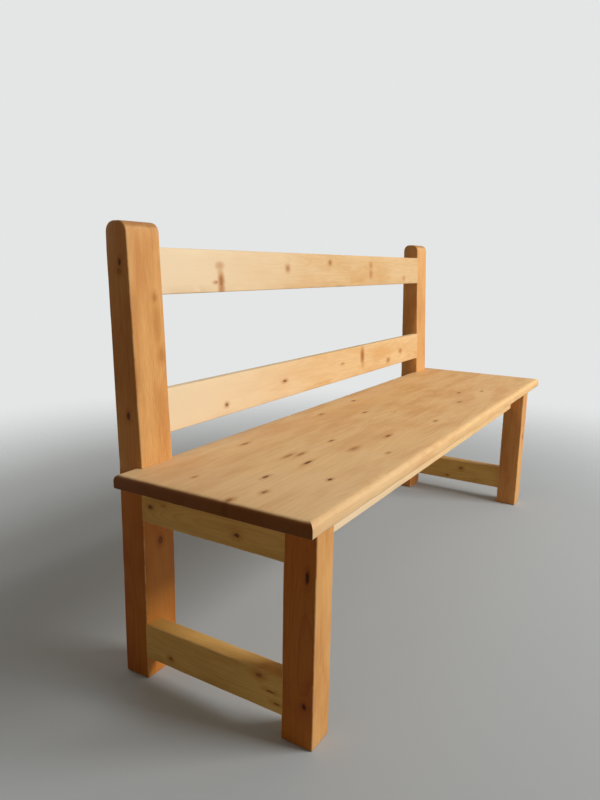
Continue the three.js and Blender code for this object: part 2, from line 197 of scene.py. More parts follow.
class StudioSettings(PropertyGroup):
    """The floor, the background and the lamps."""

    floor: colour("Floor", "Colour of the studio floor", "#B1B6B8")
    background: colour("Background", "What the camera sees past the floor", "#E4E6E6")
    key_power: power("Key", "Power of the large front lamp", 164)
    side_power: power("Side", "Power of the lamp past the right end", 10)
    top_power: power("Top", "Power of the lamp overhead", 5)
    back_power: power("Back", "Power of the lamp behind the bench", 18)
    fade_start: length("Fade start", "Where the floor starts to fade, from the middle", 0.9)
    fade_end: length("Fade end", "Where the floor has gone, from the middle", 2.8)
    ambient: FloatProperty(
        name="Ambient", description="Light from all round", default=0.156, min=0, max=1)
    ambient_colour: colour("Ambient colour", "Colour of the light from all round", "#FFECD2")


# Outlines and timbers

def rounded_outline(corners, inset, edge_step, steps):
    """A closed counter-clockwise outline moved inwards by inset, with its corners rounded.

    corners holds (x, y, radius). The result is points, each with whether it lies on a rounding.
    Every inset gives as many, so outlines can be stacked.
    """
    lines = []
    for corner, following in zip(corners, corners[1:] + corners[:1]):
        a, b = Vector(corner[:2]), Vector(following[:2])
        along = (b - a).normalized()
        inwards = Vector((-along.y, along.x))
        segments = max(1, round((b - a).length / edge_step))
        lines.append((a + inwards * inset, along, segments))

    arcs = []
    for i, (_, _, corner_radius) in enumerate(corners):
        before, after = lines[i - 1][1], lines[i][1]
        turn = math.atan2(before.cross(after), before.dot(after))
        radius = max(corner_radius - inset, LEAST_RADIUS) if corner_radius else 0
        run = radius * math.tan(abs(turn) / 2)
        start = crossing(lines[i - 1], lines[i]) - before * run
        centre = start + Vector((-before.y, before.x)) * math.copysign(radius, turn)
        turns = [turn * k / steps for k in range(steps + 1)] if radius else [0]
        arcs.append([centre + Matrix.Rotation(angle, 2) @ (start - centre) for angle in turns])

    outline = []
    for arc, following, (_, _, segments) in zip(arcs, arcs[1:] + arcs[:1], lines):
        outline += [(point, 0 < k < len(arc) - 1) for k, point in enumerate(arc)]
        for k in range(1, segments):
            outline.append((arc[-1].lerp(following[0], k / segments), False))
    return outline


def crossing(first, second):
    """Where two lines, each a point and a direction, cross."""
    (p, d, _), (q, e, _) = first, second
    return p + d * ((q - p).cross(e) / d.cross(e))


def eased_levels(start, end, ease_start, ease_end, facet, steps):
    """Heights and insets of the outlines that a timber is stacked from."""
    quarter = [math.pi / 2 * k / steps for k in range(steps + 1)]
    levels = [(start + ease_start * (1 - math.cos(angle)), ease_start * (1 - math.sin(angle)))
              for angle in (quarter if ease_start else quarter[:1])]
    first, last = start + ease_start, end - ease_end
    count = max(1, round((last - first) / facet))
    levels += [(first + (last - first) * k / count, 0) for k in range(1, count)]
    levels += [(last + ease_end * math.sin(angle), ease_end * (1 - math.cos(angle)))
               for angle in (quarter if ease_end else quarter[:1])]
    return levels


def stack(corners, levels, edge_step, steps):
    """A closed solid through one outline at each level, with its eased vertices marked."""
    bm = bmesh.new()
    eased = bm.verts.layers.float.new(EASED)
    rings = []
    for height, inset in levels:
        at_cap = height in (levels[0][0], levels[-1][0])
        ring = []
        for point, is_round in rounded_outline(corners, inset, edge_step, steps):
            vert = bm.verts.new((point.x, point.y, height))
            vert[eased] = 1.0 if (is_round or inset > 0) and not at_cap else 0.0
            ring.append(vert)
        rings.append(ring)
    for below, above in zip(rings, rings[1:]):
        for i in range(len(below)):
            j = (i + 1) % len(below)
            bm.faces.new((below[i], below[j], above[j], above[i]))
    bm.faces.new(list(reversed(rings[0])))
    bm.faces.new(rings[-1])
    return bm


def bisect(bm, point, normal, **options):
    """Cuts a solid along a plane."""
    geometry = bm.verts[:] + bm.edges[:] + bm.faces[:]
    return bmesh.ops.bisect_plane(
        bm, geom=geometry, dist=SNAP, plane_co=point, plane_no=normal, **options)


def slice_flat(bm, axis, step):
    """Cuts a flat-topped solid across an axis, so that its large faces can take a surface."""
    values = [v.co[axis] for v in bm.verts]
    start, end = min(values), max(values)
    count = round((end - start) / step)
    normal = Vector([float(i == axis) for i in range(3)])
    for k in range(1, count):
        bisect(bm, normal * (start + (end - start) * k / count), normal)


def cut_away(bm, y, side):
    """Removes what lies past a place in the depth of the bench, and closes the cut."""
    cut = bisect(bm, (0, y, 0), (0, side, 0), clear_outer=True)
    edges = [e for e in cut["geom_cut"] if isinstance(e, bmesh.types.BMEdge)]
    bmesh.ops.contextual_create(bm, geom=edges)


def planed(bm, settings, seed):
    """Lets the plane's shallow hollows and the wear of the edges into the surface."""
    eased = bm.verts.layers.float[EASED]
    offset = Vector([seed * step for step in SEED_STEPS])
    bm.normal_update()
    moved = []
    for vert in bm.verts:
        hollow = noise.noise(vert.co * HOLLOWS + offset) * 0.5 + 0.5
        worn = max(noise.noise(vert.co * WORN_PATCHES + offset * 2), 0)
        depth = settings.planing * hollow + settings.wear * worn * vert[eased]
        moved.append(vert.co - vert.normal * depth)
    for vert, place in zip(bm.verts, moved):
        vert.co = place


# Which way round a timber is stacked: the part's axes that its own x, y and z lie along
RUNS = {
    "x": Matrix(((0, 0, 1), (1, 0, 0), (0, 1, 0))),
    "y": Matrix(((0, 1, 0), (0, 0, 1), (1, 0, 0))),
    "z": Matrix(((1, 0, 0), (0, 1, 0), (0, 0, 1))),
}


class Saw(NamedTuple):
    """How one timber is cut out of a log."""

    grain: str  # the axis that the log lies along
    pith_mm: tuple  # how far the pith lies from the timber's middle
    turn_degrees: float  # how far the timber is turned about its length
    seed: int  # where it lies along the log, and how its surface is planed


def log_places(mesh, saw):
    """Stores each vertex's place in the log: along the pith, then the two ways across it."""
    attribute = mesh.attributes.new(LOG_PLACE, "FLOAT_VECTOR", "POINT")
    grain = "xyz".index(saw.grain)
    across = [axis for axis in range(3) if axis != grain]
    centre = sum((v.co for v in mesh.vertices), Vector()) / len(mesh.vertices)
    swing = Matrix.Rotation(math.radians(saw.turn_degrees), 2)
    start_mm = saw.seed * LOG_STEP_MM
    values = []
    for vert in mesh.vertices:
        place = (vert.co - centre) / MM
        flat = swing @ Vector((place[across[0]], place[across[1]]))
        values += [place[grain] + start_mm, flat.x + saw.pith_mm[0], flat.y + saw.pith_mm[1]]
    attribute.data.foreach_set("vector", values)


def in_scene(name, data):
    """A new object in the scene."""
    thing = bpy.data.objects.new(name, data)
    bpy.context.scene.collection.objects.link(thing)
    return thing


def plain_mesh(name, bm):
    """Turns a bmesh into a mesh and frees it."""
    mesh = bpy.data.meshes.new(name)
    bm.to_mesh(mesh)
    bm.free()
    return mesh


def evaluated(piece):
    """A piece's mesh as its modifiers leave it."""
    seen = piece.evaluated_get(bpy.context.evaluated_depsgraph_get())
    return bpy.data.meshes.new_from_object(seen)


def finish_piece(name, mesh, material, nodes):
    """Puts a finished mesh in the scene in place of its construction nodes."""
    mesh.shade_smooth()
    mesh.set_sharp_from_angle(angle=SHARP_ANGLE)
    mesh.materials.clear()
    mesh.materials.append(material)
    piece = in_scene(name, mesh)
    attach(piece, "root")
    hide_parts(*nodes)
    return piece


def timber(node, corners, run, span, eases, saw, slot_name, slices=(), placed=None, ends=()):
    """Builds one timber in place of a node from its section, its run and its eased ends."""
    settings = bpy.context.scene.bench_timber
    steps = settings.round_steps
    levels = eased_levels(*span, *eases, settings.facet, steps)
    bm = stack(corners, levels, settings.facet, steps)
    for axis, step in slices:
        slice_flat(bm, axis, step)
    planed(bm, settings, saw.seed)
    bmesh.ops.transform(bm, matrix=RUNS[run].to_4x4(), verts=bm.verts)
    if placed:
        bmesh.ops.transform(bm, matrix=placed, verts=bm.verts)
    for y, side in ends:
        cut_away(bm, y, side)
    bmesh.ops.recalc_face_normals(bm, faces=bm.faces)
    mesh = plain_mesh(f"finished_{node}", bm)
    log_places(mesh, saw)
    tone = mesh.attributes.new(TONE, "FLOAT", "POINT")
    tone.data.foreach_set("value", [TONES.get(node, 0.0)] * len(mesh.vertices))
    return finish_piece(f"finished_{node}", mesh, wood(slot_name), [node])


def let_in(start, end):
    """A rail's run between two legs, carried on into them past their rounded edges."""
    arris = bpy.context.scene.bench_timber.arris
    return start - arris, end + arris


def rectangle(a, b, radius):
    """The corners of a rectangle between two opposite corners, all rounded alike."""
    (x0, y0), (x1, y1) = a, b
    return [(x0, y0, radius), (x1, y0, radius), (x1, y1, radius), (x0, y1, radius)]


def level_rail(node, run, span, saw, slot_name):
    """Builds a level rail along the part's x or y axis in place of a node."""
    plane = {"x": "yz", "y": "zx"}[run]
    arris = bpy.context.scene.bench_timber.rail_arris
    section = rectangle(getattr(low(node), plane), getattr(high(node), plane), arris)
    timber(node, section, run, span, (0, 0), saw, slot_name)


# Materials

# Kinds of node, with the settings that they always have here. Those with V_ take vectors
PLUS, MINUS, TIMES, TIMES_PLUS, OVER, LARGER, WHOLE, FRACTION, UNSIGNED = [
    ("ShaderNodeMath", {"operation": operation}) for operation in (
        "ADD", "SUBTRACT", "MULTIPLY", "MULTIPLY_ADD", "DIVIDE", "MAXIMUM", "FLOOR", "FRACT",
        "ABSOLUTE")]
V_PLUS, V_MINUS, V_TIMES, V_SCALE, V_LENGTH = [
    ("ShaderNodeVectorMath", {"operation": operation}) for operation in (
        "ADD", "SUBTRACT", "MULTIPLY", "SCALE", "LENGTH")]
RANGE = ("ShaderNodeMapRange", {"interpolation_type": "SMOOTHSTEP"})
MIX = ("ShaderNodeMix", {"data_type": "RGBA"})
STAIN = ("ShaderNodeMix", {"data_type": "RGBA", "blend_type": "MULTIPLY"})
NOISE = "ShaderNodeTexNoise"


def add_node(tree, kind, *values, out=None, named=None, **settings):
    """Adds a node with its settings, and sets or links its inputs in order, or by their names.

    The result is the output that is asked for, or the first one.
    """
    kind, usual = kind if isinstance(kind, tuple) else (kind, {})
    node = tree.nodes.new(kind)
    for name, value in {**usual, **settings}.items():
        setattr(node, name, value)
    inputs = list(zip((socket for socket in node.inputs if socket.enabled), values))
    inputs += [(node.inputs[name], value) for name, value in (named or {}).items()]
    for socket, value in inputs:
        if isinstance(value, bpy.types.NodeSocket):
            tree.links.new(value, socket)
        elif value is not None:
            socket.default_value = (*value, 1) if socket.type == "RGBA" else value
    outputs = {socket.name: socket for socket in node.outputs if socket.enabled}
    return outputs[out] if out else next(iter(outputs.values()), None)


def cleared(owner):
    """Clears a material's or world's nodes, and returns what adds new ones."""
    owner.use_nodes = True
    owner.node_tree.nodes.clear()
    return partial(add_node, owner.node_tree)


KNOT_SUMS = ("Heart", "Bark", "Halo", "Push")
KNOT_PUSH_MM = 7  # how far a knot pushes the rings apart
WANDER_MM = 34  # how far the pith strays from a straight line
LOG_TAPER = 0.011  # how much thinner a log gets along its length
WAXED_IOR = 1.47
WAXED_SPECULAR = 0.2  # a thin film, mostly soaked in
PAINTED_LIGHT_REACH = (-0.75, 0.15)  # where along the bench the painted light, paler towards the near end, is full, and has gone


def knot_group():
    """One knot: its heart, its bark, the resin stain round it and its push on the rings."""
    tree = bpy.data.node_groups.new("Knot", "ShaderNodeTree")
    for in_out, value, names in (("INPUT", "Vector", ("Place", "Centre", "Size")),
                                 ("INPUT", "Float", ("Darkness", "Stain", *KNOT_SUMS)),
                                 ("OUTPUT", "Float", KNOT_SUMS)):
        for socket in names:
            tree.interface.new_socket(socket, in_out=in_out, socket_type=f"NodeSocket{value}")
    add = partial(add_node, tree)
    given = add("NodeGroupInput").node.outputs
    away = add(V_MINUS, given["Place"], given["Centre"])
    reach = add(V_LENGTH, add(V_TIMES, away, given["Size"]))
    # Each falls off with the distance from the knot's middle, in knot radii
    heart = add(RANGE, reach, 0.45, 1.15, 1, 0)
    edge = add(UNSIGNED, add(MINUS, reach, 0.75))
    bark = add(RANGE, edge, 0, 0.4, 0.75, 0)
    stain = add(RANGE, reach, 0.6, 3, 1, 0)
    push = add(RANGE, reach, 0, 3.4, 1, 0)
    largest = [add(LARGER, given[sums], add(TIMES, value, given[depth])) for value, depth, sums in (
        (heart, "Darkness", "Heart"), (bark, "Darkness", "Bark"), (stain, "Stain", "Halo"))]
    add("NodeGroupOutput", *largest, add(PLUS, given["Push"], push))
    return tree


def knots(add, place_mm, table):
    """Chains one knot for each row of the table, and returns their heart, bark, halo and push."""
    group = bpy.data.node_groups.get("Knot") or knot_group()
    sums = ()
    for centre_mm, radii_mm, darkness, stain in table:
        shrink = [1 / radius for radius in radii_mm]
        sums = add("ShaderNodeGroup", place_mm, centre_mm, shrink, darkness, stain, *sums,
                   node_tree=group).node.outputs
    return sums


def jittered(add, place, frequency, reach, **noise_inputs):
    """A place moved about by cloudy noise, as far as reach along each axis."""
    cloud = add(NOISE, place, frequency, out="Color", named=noise_inputs)
    cloud = add(V_MINUS, cloud, (0.5, 0.5, 0.5))
    return add(V_TIMES, cloud, reach)


def size_along(add, vector, axes):
    """How long a vector is along some axes, such as how squarely a normal faces along them."""
    return add(V_LENGTH, add(V_TIMES, vector, axes))


def year_rings(add, log, push):
    """How much late wood there is at a place in the log: dark rings, bent round the knots."""
    # A tree doesn't grow straight: the pith wanders and the log tapers, which draws the arches
    slow = add(V_TIMES, log, (1 / 420, 1 / 170, 1 / 170))
    wander = jittered(add, slow, 1, (0, WANDER_MM, WANDER_MM), Detail=2)
    from_pith = size_along(add, add(V_PLUS, log, wander), (0, 1, 1))
    along = add("ShaderNodeSeparateXYZ", log)
    tapered = add(TIMES_PLUS, along, LOG_TAPER, from_pith)
    pushed = add(TIMES_PLUS, push, KNOT_PUSH_MM, tapered)
    rings = add(OVER, pushed, bpy.context.scene.bench_wood.ring / MM)
    uneven = add(NOISE, rings, 0.21, 1, noise_dimensions="1D")
    rings = add(TIMES_PLUS, uneven, 2.4, rings)

    # Late wood darkens slowly through the year and stops at once
    ramp = add("ShaderNodeValToRGB", add(FRACTION, rings))
    stops = ramp.node.color_ramp.elements
    stops[0].color = stops[1].color = (0.2, 0.2, 0.2, 1)
    for position, value in ((0.12, 0.0), (0.5, 0.06), (0.8, 0.7), (0.92, 1.0)):
        stops.new(position).color = (value, value, value, 1)
    year = add("ShaderNodeTexWhiteNoise", add(WHOLE, rings), noise_dimensions="1D")
    strength = add(RANGE, year, 0, 1, 0.35, 1)
    return add(TIMES, ramp, strength)


def pine(name, grain, hues, knot_table, ring_strength, gloss, painted_light_share=0.0, end_grain=1.0,
         with_painted_leg_shade=False):
    """Pine from a log: rings, fibres, clouds, knots, dark end grain, a thin wax film, and painted
    light and shade where asked.
    """
    wood = bpy.context.scene.bench_wood
    early, late = getattr(wood, hues), getattr(wood, f"{hues}_late")
    material = bpy.data.materials.new(name)
    add = cleared(material)
    log = add("ShaderNodeAttribute", attribute_name=LOG_PLACE, out="Vector")
    here = add("ShaderNodeTexCoord", out="Object")
    here_mm = add(V_TIMES, here, (1 / MM, 1 / MM, 1 / MM))

    # The knots' outlines wander a little, so no two are alike
    ragged = jittered(add, here_mm, 0.16, (5, 5, 5), Detail=3, Roughness=0.6)
    heart, bark, halo, push = knots(add, add(V_PLUS, here_mm, ragged), knot_table)

    late_wood = year_rings(add, log, push)
    body = add(MIX, add(TIMES, late_wood, ring_strength), early, late)

    # Fibres run along the log, a few tenths of a millimetre across, drawn coarser to show
    fibre = add(NOISE, add(V_TIMES, log, (0.012, 0.9, 0.9)), 1, 4, 0.65)
    fibre_shade = add(RANGE, fibre, 0.3, 0.72, 0.86, 1.05)
    body = add(V_SCALE, body, fibre_shade)

    # Sap and old wax leave broad warm clouds and long dark streaks
    for stretch, detail, roughness, start, end, most in (
            ((1 / 190, 1 / 48, 1 / 48), 4, 0.6, 0.4, 0.72, 0.55),
            ((1 / 150, 1 / 9, 1 / 9), 2, 0.5, 0.58, 0.78, 0.4)):
        stain = add(NOISE, add(V_TIMES, log, stretch), 1, detail, roughness)
        stain = add(RANGE, stain, start, end, 0, most)
        body = add(MIX, stain, body, late)

    tone = add("ShaderNodeAttribute", attribute_name=TONE, out="Fac")
    body = add(V_SCALE, body, add(PLUS, tone, 1))
    # Painted light: the near end is drawn paler, as if lit more strongly
    if painted_light_share:
        along = add("ShaderNodeSeparateXYZ", here)
        faded = add(RANGE, along, *PAINTED_LIGHT_REACH, painted_light_share, 0)
        body = add(MIX, faded, body, wood.painted_light_hue)

    # Resin halo, heart and bark of the knots, the bark broken here and there
    core = add(RANGE, heart, 0.8, 1, 0, 0.85)
    broken = add(RANGE, add(NOISE, here_mm, 0.35), 0.38, 0.6, 0.25, 1)
    bark = add(TIMES, bark, broken)
    for share, hue in ((halo, wood.halo), (heart, wood.knot), (core, wood.knot_bark),
                       (bark, wood.knot_bark)):
        body = add(MIX, share, body, hue)

    # A cut end drinks the wax and turns dark
    facing = add("ShaderNodeNewGeometry", out="Normal")
    cut_end = add(RANGE, size_along(add, facing, grain), 0.2, 0.75, 0, 1)
    body = add(STAIN, add(TIMES, cut_end, end_grain), body, wood.end_grain)
    # Painted shade on the legs' sides and on the back legs below the seat
    if with_painted_leg_shade:
        body = painted_leg_shade(add, body, here, facing)

    # The wax has rubbed off the edges in places, and the paler edges are partly a painted highlight
    # along the arrises
    edge = add("ShaderNodeAttribute", attribute_name=EASED, out="Fac")
    edge = add(RANGE, edge, 0.75, 1, 0, 1)
    rubbed_and_lit = add(RANGE, add(NOISE, here_mm, 0.025, 3, 0.6), 0.35, 0.65, 0.1, 0.55)
    rubbed_and_lit = add(TIMES, add(TIMES, rubbed_and_lit, edge), add(MINUS, 1, cut_end))
    body = add(MIX, rubbed_and_lit, body, wood.worn)

    height = add(TIMES, fibre, 0.09)
    height = add(TIMES_PLUS, late_wood, 0.05, height)
    height = add(TIMES_PLUS, heart, -0.12, height)
    bump = add("ShaderNodeBump", 0.55, MM, named={"Height": height})

    smear = add(NOISE, add(V_TIMES, here_mm, (0.006, 0.006, 0.006)), 1, 3)
    rough = add(RANGE, smear, 0.3, 0.7, gloss - 0.07, gloss + 0.08)
    rough = add(TIMES_PLUS, late_wood, -0.06, rough)

    shader = add("ShaderNodeBsdfPrincipled", body, None, rough, WAXED_IOR, named={
        "Normal": bump, "Specular IOR Level": WAXED_SPECULAR})
    add("ShaderNodeOutputMaterial", shader)
    return material


def painted_leg_shade(add, body, here, facing):
    """Painted shade: darker legs' sides, most on the outer ones, and darker back legs' fronts below
    the seat.
    """
    wood = bpy.context.scene.bench_wood
    x, y, z = add("ShaderNodeSeparateXYZ", here).node.outputs
    below_seat = add(RANGE, z, SEAT_UNDER, SEAT_TOP, 1, 0)
    sideways = add(RANGE, size_along(add, facing, (1, 0, 0)), 0.35, 0.97, 0, 1)
    outwards = add(TIMES, add("ShaderNodeSeparateXYZ", facing), x)
    outer = add(RANGE, outwards, 0, 0.5, 0.5, 1)
    shade_depth = add(TIMES_PLUS, below_seat, 0.45, 0.55)
    back = add(RANGE, y, 0, 0.1, 0, 1)
    forwards = add(MINUS, 1, sideways)
    share = add(TIMES, add(TIMES, sideways, outer), shade_depth)
    body = add(STAIN, share, body, wood.painted_side_shade)
    share = add(TIMES, add(TIMES, back, below_seat), forwards)
    return add(STAIN, share, body, wood.painted_under_seat_shade)


# Knots, as (centre, radii, darkness of the heart, strength of the stain round it), in
# millimetres in the bench's own axes

FRONT_MM = low("front_leg_left").y / MM
LEFT_MM = low("front_leg_left").x / MM
END_RAIL_MM = high("end_rail_left").x / MM
POST_MM = POST_FRONT / MM
THROUGH = 70  # reaches through any timber from side to side

# Small knots and resin streaks in the seat, drawn out along the bench
SEAT_KNOTS = [
    ((x, FRONT_MM + y, SEAT_TOP / MM), (along, across, THROUGH), darkness, 0.5)
    for x, y, along, across, darkness in (
        (-497, 332, 12, 3.5, 0.55), (-735, 275, 6, 2.5, 0.35), (-520, 205, 16, 4, 0.35),
        (-495, 190, 14, 4, 0.4), (-660, 167, 10, 3.5, 0.85), (-537, 148, 15, 3.5, 0.95),
        (-730, 122, 8, 4, 0.6), (-605, 60, 7, 3.5, 0.95), (-365, 188, 9, 3, 0.8),
        (-393, 117, 16, 5, 0.3), (-250, 100, 13, 3.5, 0.85), (-380, 42, 8, 3, 0.3),
        (-796, 149, 9, 5, 0.5), (-40, 60, 9, 3.5, 0.7), (-55, 253, 11, 3, 0.8),
        (-145, 338, 9, 3.5, 0.6), (63, 347, 9, 3.5, 0.8), (235, 85, 11, 3.5, 0.6),
        (375, 132, 10, 3.5, 0.8), (445, 80, 9, 3, 0.7))]

# Knots that run through the back rails, and the streaks that branches left in them
RAIL_KNOTS = [
    ((x, (low(node).y + high(node).y) / 2 / MM, low(node).z / MM + rise),
     (along, THROUGH, across), darkness, stain)
    for node, places in (
        ("back_rail_top", (
            (-487, 57, 8, 4.5, 0.0, 0.5), (-486, 45, 5, 7, 0.0, 0.4), (-484, 25, 6, 11, 0.3, 0.8),
            (-484, 8, 6, 9, 0.1, 0.7), (-502, 22, 6, 2.5, 0.3, 0.5), (-213, 52, 7, 6, 0.3, 0.55),
            (8, 68, 7, 5, 0.35, 0.6), (273, 62, 7, 6, 0.1, 0.5), (273, 36, 7, 8, 0.1, 0.55),
            (540, 20, 7, 5, 0.15, 0.45))),
        ("back_rail_low", (
            (-483, 25, 5.5, 4, 0.65, 0.5), (-241, 44, 9, 3.5, 0.75, 0.5),
            (75, 50, 8, 2.5, 0.3, 0.4), (209, 60, 7, 14, 0.2, 0.9), (212, 36, 6, 8, 0.0, 0.35),
            (407, 24, 9, 5, 0.35, 0.6), (511, 44, 8, 5, 0.35, 0.6))))
    for x, rise, along, across, darkness, stain in places]

# Knots in the left end's rail and stretcher, and then in the right end's
END_KNOTS = [
    ((side, FRONT_MM + y, z), (THROUGH, along, across), darkness, stain)
    for side, places in (
        (END_RAIL_MM, (
            (369, 377, 8, 6, 0.95, 0.4), (164, 368, 8, 5, 0.95, 0.5), (335, 387, 5, 3, 0.3, 0.4),
            (326, 68, 6, 5, 0.6, 0.5), (114, 110, 9, 6, 0.5, 0.6), (89, 86, 11, 2.5, 0.8, 0.5),
            (76, 66, 9, 2.5, 0.7, 0.5))),
        (-END_RAIL_MM, (
            (290, 372, 7, 5, 0.7, 0.4), (60, 385, 6, 4, 0.7, 0.4), (210, 96, 8, 5, 0.6, 0.5),
            (262, 60, 6, 4, 0.5, 0.5))))
    for y, z, along, across, darkness, stain in places]

LEG_KNOTS = [
    ((LEFT_MM, FRONT_MM + 428, 838), (30, 4, 7), 0.95, 0.5),
    ((LEFT_MM, FRONT_MM + 430, 821), (30, 5, 6), 0.35, 0.5),
    ((LEFT_MM, FRONT_MM + 419, 550), (30, 5, 8), 0.9, 0.5),
    ((LEFT_MM, FRONT_MM + 19, 83), (34, 5, 7), 0.9, 0.5),
    ((LEFT_MM, FRONT_MM + 17.5, 327), (34, 4, 13), 1.0, 0.5),
    ((-692, POST_MM + 20, 772), (5, 25, 7), 0.2, 0.45),
    ((-690, POST_MM + 16, 722), (6, 25, 22), 0.0, 0.5),
    ((-682, POST_MM + 12, 661), (7, 25, 11), 0.1, 0.5),
    ((LEFT_MM + 45, POST_MM, 288), (7, 34, 9), 0.6, 0.5),
    ((-LEFT_MM - 25, FRONT_MM, 250), (6, 40, 8), 0.7, 0.4),
    ((-LEFT_MM, FRONT_MM + 41, 128), (40, 6, 8), 0.7, 0.4),
    ((-LEFT_MM, POST_MM + 30, 640), (50, 6, 9), 0.7, 0.4),
    ((-LEFT_MM - 40, POST_MM, 196), (6, 50, 8), 0.7, 0.4),
]

BEARER_KNOTS = [
    ((0, y, SEAT_UNDER / MM + z), (THROUGH, along, across), darkness, 0.4)
    for y, z, along, across, darkness in (
        (-88, -20, 7, 6, 0.7), (41, -44, 9, 7, 0.6), (126, -14, 5, 5, 0.8))]

# The woods by their material slots, each with the axis that its logs lie along
WOODS = {
    # Straight grained, with close dark rings under a warm orange wax, and painted shade on the
    # sides
    "leg_wood": dict(
        name="Waxed redwood, planed", grain=(0, 0, 1), hues="redwood", knot_table=LEG_KNOTS,
        ring_strength=0.5, gloss=0.56, end_grain=0.4, with_painted_leg_shade=True),
    # Nearly straw coloured, with soft golden streaks, and painted light towards the near end
    "pale_wood": dict(
        name="Waxed pine sapwood, planed", grain=(1, 0, 0), hues="pale", knot_table=RAIL_KNOTS,
        ring_strength=0.42, gloss=0.56, painted_light_share=0.92),
    # Rubbed even by use, with short dark dashes where small branches were cut through, and a little
    # painted light towards the near end
    "seat_wood": dict(
        name="Waxed pine, worn smooth", grain=(1, 0, 0), hues="seat", knot_table=SEAT_KNOTS,
        ring_strength=0.4, gloss=0.64, painted_light_share=0.2),
    # A little greener and browner than the rails of the back
    "end_rail_wood": dict(
        name="Waxed pine, planed", grain=(0, 1, 0), hues="end_rail", knot_table=END_KNOTS,
        ring_strength=0.5, gloss=0.56),
    # Never waxed: dry and matt
    "raw_wood": dict(
        name="Bare pine, sawn", grain=(0, 0, 0), hues="raw", knot_table=BEARER_KNOTS,
        ring_strength=0.6, gloss=0.72),
}


def wood(slot_name):
    """The material of one of the bench's woods, made when it is first asked for."""
    look = WOODS[slot_name]
    return bpy.data.materials.get(look["name"]) or pine(**look)


SPANGLES_PER_MM = 0.9


def zinc_plated_steel():
    """Bright metal, clouded a little by its zinc coat."""
    material = bpy.data.materials.new("Zinc-plated steel, drawn")
    add = cleared(material)
    cloud = add(NOISE, add("ShaderNodeTexCoord", out="Object"), SPANGLES_PER_MM / MM)
    tint = add(MIX, cloud, linear("#8F8E86"), linear("#B9B8B0"))
    rough = add(RANGE, cloud, 0.3, 0.7, 0.28, 0.46)
    shader = add("ShaderNodeBsdfPrincipled", tint, 1, rough)
    add("ShaderNodeOutputMaterial", shader)
    return material


# Pieces

class BENCH_OT_front_legs(Operator):
    """Make the two square front legs"""

    bl_idname = "bench.front_legs"
    bl_label = "Front legs"

    def execute(self, context):
        settings = context.scene.bench_timber
        for seed, end in enumerate(ENDS):
            node = f"front_leg_{end}"
            a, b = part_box(node)
            section = rectangle(a[:2], b[:2], settings.arris)
            saw = Saw("z", (84, 22), 8 - 30 * seed, 1 + seed)
            timber(node, section, "z", (a.z, b.z), (settings.foot_ease, 0), saw, "leg_wood")
        return {"FINISHED"}


def post_side_view(settings):
    """A post seen from its end: upright to the seat, then leaning back to a round crown."""
    back = POST_FRONT + settings.post_depth
    lean = math.tan(LEAN) * (POST_TOP - SEAT_TOP)
    return [
        (POST_FRONT, 0, settings.foot_ease),
        (back, 0, settings.foot_ease),
        (back, SEAT_TOP, 0),
        (back + settings.post_back_lean, POST_TOP, settings.crown),
        (POST_FRONT + lean, POST_TOP, settings.crown),
        (POST_FRONT, SEAT_TOP, 0),
    ]


class BENCH_OT_back_posts(Operator):
    """Make the two back posts, which are the back legs too"""

    bl_idname = "bench.back_posts"
    bl_label = "Back posts"

    def execute(self, context):
        settings = context.scene.bench_timber
        for seed, end in enumerate(ENDS):
            node = f"back_post_{end}"
            saw = Saw("z", (104, -26), -6 + 24 * seed, 3 + seed)
            timber(node, post_side_view(settings), "x", (low(node).x, high(node).x),
                   (settings.arris, settings.arris), saw, "leg_wood")
        return {"FINISHED"}


class BENCH_OT_back_rails(Operator):
    """Make the two back rails, which lean back with the posts"""

    bl_idname = "bench.back_rails"
    bl_label = "Back rails"

    def execute(self, context):
        settings = context.scene.bench_timber
        span = let_in(high("back_post_left").x, low("back_post_right").x)
        section = rectangle((0, 0), (RAIL_THICKNESS, RAIL_HEIGHT), settings.rail_arris)
        for seed, node in enumerate(("back_rail_low", "back_rail_top")):
            # The lowest corner of a leaning rail is its back one
            foot = (0, low(node).y, low(node).z + RAIL_THICKNESS * math.sin(LEAN))
            placed = Matrix.Translation(foot) @ Matrix.Rotation(-LEAN, 4, "X")
            saw = Saw("x", (46, 20 - 50 * seed), 0, 5 + seed)
            timber(node, section, "x", span, (0, 0), saw, "pale_wood", placed=placed)
        return {"FINISHED"}


class BENCH_OT_aprons(Operator):
    """Make the front and back aprons under the seat"""

    bl_idname = "bench.aprons"
    bl_label = "Aprons"

    def execute(self, context):
        for seed, (side, leg) in enumerate((("front", "front_leg"), ("back", "back_post"))):
            span = let_in(high(f"{leg}_left").x, low(f"{leg}_right").x)
            saw = Saw("x", (58, 30), 10, 7 + seed)
            level_rail(f"{side}_apron", "x", span, saw, "pale_wood")
        return {"FINISHED"}


class BENCH_OT_end_frames(Operator):
    """Make the end rails under the seat and the stretchers near the floor"""

    bl_idname = "bench.end_frames"
    bl_label = "End rails and stretchers"

    def execute(self, context):
        span = let_in(high("front_leg_left").y, POST_FRONT)
        for end_seed, end in enumerate(ENDS):
            for seed, kind in enumerate(("end_rail", "end_stretcher")):
                saw = Saw("y", (62, 24 + 30 * seed), 15, 9 + seed + 2 * end_seed)
                level_rail(f"{kind}_{end}", "y", span, saw, "end_rail_wood")
        return {"FINISHED"}


class BENCH_OT_bearer(Operator):
    """Make the bearer across the middle, under the seat"""

    bl_idname = "bench.bearer"
    bl_label = "Seat bearer"

    def execute(self, context):
        span = (high("front_apron").y, POST_FRONT)
        level_rail("seat_bearer", "y", span, Saw("y", (40, 30), 0, 13), "raw_wood")
        return {"FINISHED"}


